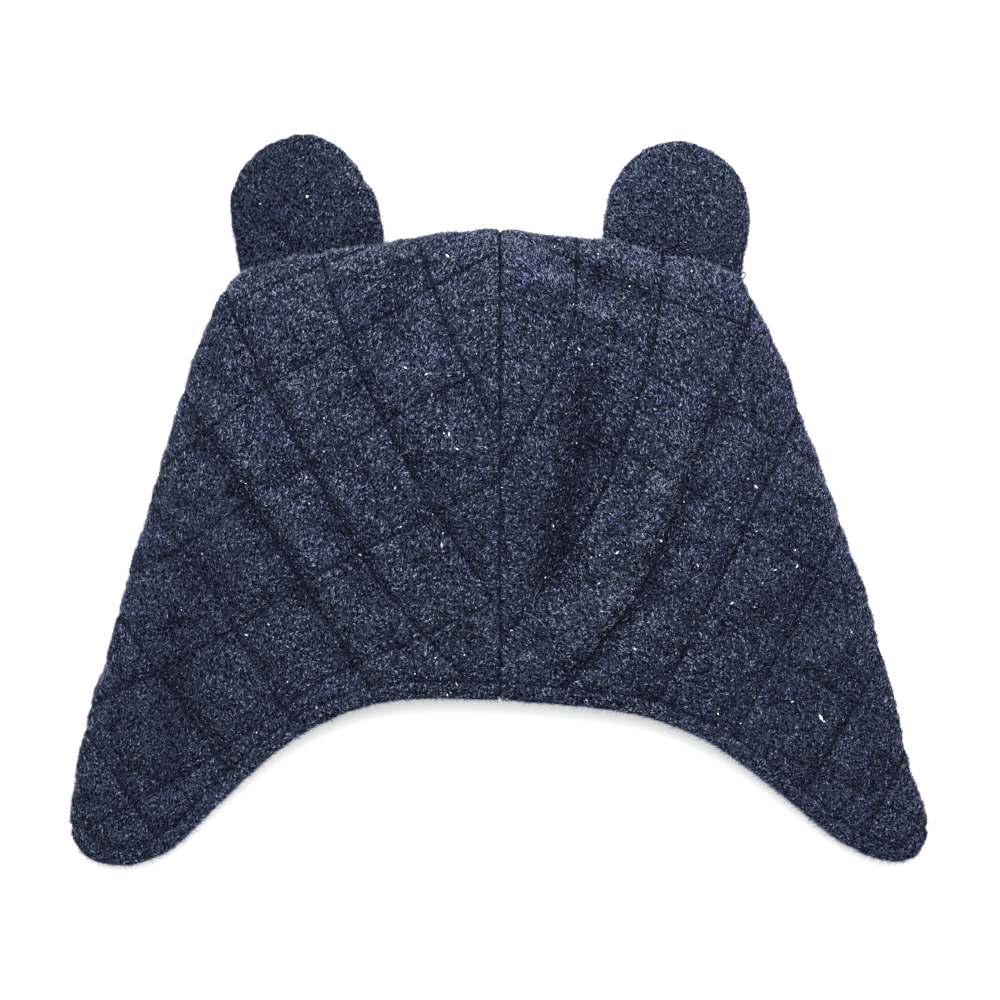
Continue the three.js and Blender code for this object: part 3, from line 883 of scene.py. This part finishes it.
def make_pile(name, side, piece, chosen, count, seed, to_stitches, kind):
    """Tufts round the chosen points of a piece, but none across a line of stitches."""
    rng, nap = np.random.default_rng(seed), NAP[side]
    places, facing = strew_over(piece.data, chosen, count, rng)
    angle = nap + NAP_TURNS * soft_noise(places, NAP_PATCH, seed) + rng.normal(0, STRAYING, count)
    combed = np.column_stack([np.cos(angle), np.sin(angle), np.zeros(count)])
    combed = unit(combed - facing * np.sum(combed * facing, axis=1, keepdims=True))
    lift = rng.uniform(*kind["lift"], count)[:, None]
    along = unit(combed * np.cos(lift) + facing * np.sin(lift))
    up = unit(facing * np.cos(lift) - combed * np.sin(lift))
    roll = np.clip(rng.normal(0, ROLL_VARIES, count), -MOST_ROLL, MOST_ROLL)[:, None]
    up = up * np.cos(roll) + np.cross(along, up) * np.sin(roll)
    edge = 1 - np.abs(facing[:, 2])
    length = kind["length"] * MM * rng.lognormal(0, LENGTH_VARIES, count)
    width = kind["width"] * MM * rng.lognormal(0, WIDTH_VARIES, count) * (1 - FINER_AT_FOLDS * edge)
    sizes = np.column_stack([length, width, width])
    locks = matted(places, nap, seed)
    sunk = ROOT_DEPTH - LOCK_HEIGHT * kind["matted"] * locks
    roots = places - combed * (ROOT_BEHIND * length)[:, None] - facing * sunk[:, None]
    bent = TUFT + TUFT_BEND * rng.normal(0, BEND_VARIES, (count, 1, 1))
    points = scattered(bent, roots, along, up, sizes)
    points[:, :, 2] = np.maximum(points[:, :, 2], 0)
    clear = np.min([to_stitches(side, points[:, k]) for k in range(len(TUFT))], axis=0)
    kept = clear > PARTED
    tufts = joined_mesh(name, points[kept], TUFT_FACES)
    # Painted sheen: tufts where the cloth turns over are made paler, less so where the cloth faces the
    # crown's side and the softbox.
    tone_and_painted_light = PAINTED_SHEEN_AT_FOLDS * edge**1.5 * (1 - LESS_PAINTED_SHEEN_AT_CROWN * np.clip(facing[:, 1], 0, 1))
    # Painted light on ridges and painted shade in creases, by the crease height.
    tone_and_painted_light += PAINTED_RIDGE_LIGHT_AND_CREASE_SHADE * nearness(places) * crease_height(places)
    # Painted shade and light: tufts of sunk locks are darkened and tufts of raised locks made paler, over
    # the real sinking of their roots; the kind's offset is added here too.
    tone_and_painted_light = np.clip(tone_and_painted_light, MOST_PAINTED_SHADE, MOST_PAINTED_LIGHT) + (kind["tone_and_painted_light"] + kind["matted"] * locks)
    shade = 0.5 + SHADE_SPREAD * (mixed_shades(places, rng) - 0.5) + tone_and_painted_light
    shade = np.clip(shade, *SHADE_LIMITS)[kept]
    patch = np.clip(0.5 + PATCH_CONTRAST * soft_noise(places[kept], PATCH_SIZE, seed + 5), 0, 0.99)
    tone = (np.floor(patch * TONES) + 0.5) / TONES

    # The tint map's x is the shade. Its y is the tone, in steps that each run from root to tip.
    across = shade[:, None, None] + np.array([0, -0.01, 0.01, 0])[TUFT_FACES][None]
    along_tuft = np.array([-0.45, 0, 0, 0.45])[TUFT_FACES][None] / TONES
    upward = tone[:, None, None] + along_tuft
    tint = tufts.data.uv_layers.new(name="OFBake")
    tint.uv.foreach_set("vector", np.stack([across, upward], axis=-1).ravel().astype(np.float32))
    return tufts


def pile_material():
    """Painted shade, near black, at the root and the tuft's own colour toward the tip, some tufts much
    paler, in patches of two tones.
    """
    material = bpy.data.materials.new("navy_pile")
    material.use_nodes = True
    add = nodes_in(material.node_tree)
    skin = material.node_tree.nodes["Principled BSDF"]
    tint = add("ShaderNodeUVMap", {"uv_map": "OFBake"}).outputs[0]
    parts = add("ShaderNodeSeparateXYZ", Vector=tint).outputs
    row = add("ShaderNodeMath", {"operation": "MULTIPLY"}, _0=parts["Y"], _1=TONES).outputs[0]
    along = add("ShaderNodeMath", {"operation": "FRACT"}, _0=row).outputs[0]
    ramps = []
    for tone in (GREENISH, BLUISH):
        ramp = add("ShaderNodeValToRGB", Fac=parts["X"])
        shades = ramp.color_ramp
        shades.elements[0].color = (*tone[0], 1)
        shades.elements[1].color = (*tone[-1], 1)
        for at, color in zip(SHADES_AT, tone[1:-1]):
            shades.elements.new(at).color = (*color, 1)
        ramps.append(ramp.outputs[0])
    patch = add("ShaderNodeMix", {"data_type": "RGBA"}, _0=parts["Y"], _6=ramps[0], _7=ramps[1])
    # Painted shade: toward its root each tuft fades into near black.
    clear_of_root_shade = add("ShaderNodeMapRange", _0=along, _1=0.05, _2=0.85, _3=0.15, _4=1).outputs[0]
    color = add(
        "ShaderNodeMix", {"data_type": "RGBA"}, _0=clear_of_root_shade, _6=FLEECE_PAINTED_SHADE, _7=patch.outputs[2]
    )
    material.node_tree.links.new(color.outputs[2], skin.inputs["Base Color"])
    skin.inputs["Roughness"].default_value = 0.8
    skin.inputs["Specular IOR Level"].default_value = 0
    return material


NEAR_TUFTS = 97500
FAR_TUFTS = 33000
EAR_TUFTS = 22500
NEAR_PILE_FROM = PARTING_HEIGHT - 4 * MM
EDGE_FUZZ = 8500  # fine longer fibres that stand out where the cloth turns over
EAR_FUZZ = 2000
FUZZ_BELOW = 0.45  # how far the cloth may face up or down there, 1 being flat
navy_pile = pile_material()


def to_panel_stitches(side, spots):
    """Distance to the stitching that parts the pile, further away where it is drawn in less."""
    stitched, pull = to_quilting(side, spots)
    from_hem = to_hem(side, spots)
    stitched = np.where(from_hem > HEM_STITCH_IN, stitched / pull, np.inf)
    from_seam = HALVES[side] * spots[:, 0] - SEAM_PARTED
    topstitched = np.abs(from_hem - HEM_STITCH_IN) / HEM_PULL
    return np.min([stitched, topstitched, from_seam], axis=0)


for number, side in enumerate(HALVES):
    panel, ear = panels[side], ears[side]
    outer = skins[side]["outer"] > 0.5
    near = points_of(panel.data)[:, 2] >= NEAR_PILE_FROM
    turned = np.abs(normals_of(panel.data)[:, 2]) < FUZZ_BELOW
    rim = np.abs(normals_of(ear.data)[:, 2]) < FUZZ_BELOW
    everywhere = np.ones(len(rim), bool)
    for name, piece, chosen, count, seed, kind in (
        ("pile_near", panel, outer & near, NEAR_TUFTS, 10, "body"),
        ("pile_far", panel, outer & ~near, FAR_TUFTS, 12, "body"),
        ("pile_ear", ear, everywhere, EAR_TUFTS, 20, f"ear_{side}"),
        ("fuzz_edge", panel, outer & turned, EDGE_FUZZ, 30, "fuzz"),
        ("fuzz_ear", ear, rim, EAR_FUZZ, 32, "fuzz"),
    ):
        to_stitches = to_ear_stitches if piece is ear else to_panel_stitches
        tufts = make_pile(
            f"{name}_{side}", side, piece, chosen, count, seed + number, to_stitches, PILES[kind]
        )
        tufts.data.materials.append(navy_pile)
        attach(tufts, "root")

# Lint and loose fibres: what clings to worn fleece. White specks lie thickest beside the centre seam,
# a few long pale hairs have curled up on the cloth, and a cut end of thread stands at the right ear.
SPECKS = 220
SPECK = np.array([(0, 0, 0), (0.5, 0.5, 0.1), (0.5, -0.5, 0), (0.6, 0, 0.6), (1, 0.1, 0.2)])
SPECK_FACES = np.array([(0, 2, 1), (0, 3, 2), (0, 1, 3), (4, 1, 2), (4, 2, 3), (4, 3, 1)])
SPECK_LENGTH = 0.4  # in mm, its middle value
SPECK_VARIES = 0.45
SPECK_RAISED = 0.35 * MM
LINT_AROUND = 48 * MM  # how far out from the centre seam most of it lies
STRAY_SHARE = 0.35
STRAYS_OUT = 115  # in mm
LINT_FROM, LINT_TO = -85, 95  # in mm, from the flaps to the crown
ABOVE_ALL = 100 * MM
HAIRS = (  # in mm: where it lies, how long it is, which way it runs, how much it turns in all, in degrees
    {"at": (-73, 40), "long": 13, "toward": 80, "turn": 420},
    {"at": (-66, 37), "long": 9, "toward": -50, "turn": 90},
    {"at": (-62, 33), "long": 7, "toward": 20, "turn": -200},
    {"at": (-14, 45), "long": 6, "toward": 30, "turn": -120},
    {"at": (14, -38), "long": 9, "toward": 130, "turn": 40},
    {"at": (10, -33), "long": 7, "toward": 100, "turn": -60},
    {"at": (57, -23), "long": 6, "toward": 20, "turn": 60},
    {"at": (34, 62), "long": 5, "toward": -40, "turn": 110},
    {"at": (-30, 12), "long": 5, "toward": 60, "turn": -80},
)
HAIR_THICK = 0.035 * MM
HAIR_RAISED = 0.75
HAIR_WAVES = 0.15
HAIR_STEPS = 24
LOOP_THICK = 0.2 * MM


def plain_material(name, color, roughness):
    material = bpy.data.materials.new(name)
    material.use_nodes = True
    skin = material.node_tree.nodes["Principled BSDF"]
    skin.inputs["Base Color"].default_value = (*color, 1)
    skin.inputs["Roughness"].default_value = roughness
    return material


def fibre(name, path, thick):
    """A thin round fibre along a path."""
    curve = bpy.data.curves.new(name, "CURVE")
    curve.dimensions = "3D"
    curve.bevel_depth = thick
    curve.bevel_resolution = 0
    spline = curve.splines.new("POLY")
    spline.points.add(len(path) - 1)
    for point, place in zip(spline.points, path):
        point.co = (*place, 1)
    piece = bpy.data.objects.new(name, curve)
    bpy.context.scene.collection.objects.link(piece)
    return piece


white_lint = plain_material("white_lint", (0.75, 0.76, 0.80), 0.7)
pale_hair = plain_material("pale_hair", (0.26, 0.28, 0.34), 0.5)
rng = np.random.default_rng(41)
finished = [tree_of(piece.data) for piece in (panels["left"], panels["right"], ears["left"])]


def met_from_above(x, y):
    """Each place, with its normal, where a fibre that falls here meets the cloth."""
    hits = (tree.ray_cast(Vector((x, y, ABOVE_ALL)), Vector((0, 0, -1))) for tree in finished)
    return [hit for hit in hits if hit[0] is not None]


specks = []
while len(specks) < SPECKS:
    stray = rng.random() < STRAY_SHARE
    x = rng.uniform(-STRAYS_OUT, STRAYS_OUT) * MM if stray else rng.normal(0, 1) * LINT_AROUND
    y = rng.uniform(LINT_FROM, LINT_TO) * MM
    hits = [hit for hit in met_from_above(x, y) if hit[0].z > PARTING_HEIGHT]
    if hits:
        specks.append(max(hits, key=lambda hit: hit[0].z)[:2])
count = len(specks)
places = np.array([place for place, _ in specks])
up = np.array([normal for _, normal in specks])
random_way = rng.normal(0, 1, (count, 3))
along = unit(random_way - up * np.sum(random_way * up, axis=1, keepdims=True))
size = rng.lognormal(math.log(SPECK_LENGTH), SPECK_VARIES, count)[:, None] * MM
sizes = size * np.column_stack([rng.uniform(0.8, 2.6, count), rng.uniform(0.5, 0.9, (count, 2))])
points = scattered(SPECK, places + SPECK_RAISED * up, along, up, sizes)
lint = joined_mesh("lint_specks", points, SPECK_FACES)
lint.data.materials.append(white_lint)
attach(lint, "root")

hairs = []
for number, hair in enumerate(HAIRS):
    x, y = (value * MM for value in hair["at"])
    heading, path = math.radians(hair["toward"]), []
    for step in range(HAIR_STEPS):
        heights = [hit[0].z for hit in met_from_above(x, y)]
        if not heights:
            break
        path.append((x, y, max(heights) + (HAIR_RAISED + HAIR_WAVES * math.sin(step)) * MM))
        x += math.cos(heading) * hair["long"] * MM / HAIR_STEPS
        y += math.sin(heading) * hair["long"] * MM / HAIR_STEPS
        heading += math.radians(hair["turn"]) / HAIR_STEPS * (0.6 + 0.8 * step / HAIR_STEPS)
    hairs.append(fibre(f"hair_{number}", path, HAIR_THICK))
loop_middle = Vector((72.5, 67, 13)) * MM
loop_path = [
    loop_middle + Vector((math.cos(turn) * 0.7 + math.sin(turn) * 0.4, math.sin(turn), 0.2 * turn)) * MM
    for turn in np.linspace(-2.6, 2.9, 22)
]
loop = fibre("thread_end", loop_path, LOOP_THICK)
for fibres, name, material in ((hairs, "loose_hairs", pale_hair), ([loop], "thread_end", dark_thread)):
    bpy.ops.object.select_all(action="DESELECT")
    for piece in fibres:
        piece.select_set(True)
    bpy.context.view_layer.objects.active = fibres[0]
    bpy.ops.object.convert(target="MESH")
    if len(fibres) > 1:
        bpy.ops.object.join()
    joined = bpy.context.object
    joined.name = name
    joined.data.materials.clear()
    joined.data.materials.append(material)
    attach(joined, "root")

# Studio: a pale table, one large soft light high above it on the crown's side, an even glow all round,
# and the camera, which looks straight down on the hat.
hat_low, hat_high = cad_box
hat_width = hat_high.x - hat_low.x
CAMERA_HEIGHT = 1.2
VIEW_SHARE = 0.861  # of the picture's width that the hat fills
SENSOR = 36.0
TABLE_SIZE = 6
SOFTBOX_PLACE = (0.04, 0.5, 1.2)
SOFTBOX_SIZE = 1.5
SOFTBOX_ENERGY = 51
GLOW = 0.81

bpy.ops.mesh.primitive_plane_add(size=TABLE_SIZE, location=(0, 0, 0))
table_top = bpy.context.object
table_top.name = "table_top"
pale = bpy.data.materials.new("pale_table")
pale.use_nodes = True
pale_skin = pale.node_tree.nodes["Principled BSDF"]
pale_skin.inputs["Base Color"].default_value = (0.86, 0.86, 0.86, 1)
pale_skin.inputs["Roughness"].default_value = 0.9
table_top.data.materials.append(pale)

bpy.ops.object.camera_add(location=(0, 0, CAMERA_HEIGHT), rotation=(0, 0, 0))
camera = bpy.context.object
camera.data.sensor_width = SENSOR
camera.data.lens = SENSOR * (CAMERA_HEIGHT - PARTING_HEIGHT) * VIEW_SHARE / hat_width
camera.data.clip_end = 20
bpy.context.scene.camera = camera

bpy.ops.object.light_add(type="AREA", location=SOFTBOX_PLACE)
softbox = bpy.context.object
softbox.name = "softbox"
softbox.data.size = SOFTBOX_SIZE
softbox.data.energy = SOFTBOX_ENERGY
softbox.rotation_euler = (Vector((0, 0, 0)) - softbox.location).to_track_quat("-Z", "Y").to_euler()

world = bpy.data.worlds.new("studio")
bpy.context.scene.world = world
world.use_nodes = True
world.node_tree.nodes["Background"].inputs["Color"].default_value = (1, 1, 1, 1)
world.node_tree.nodes["Background"].inputs["Strength"].default_value = GLOW
bpy.context.scene.view_settings.view_transform = "Standard"
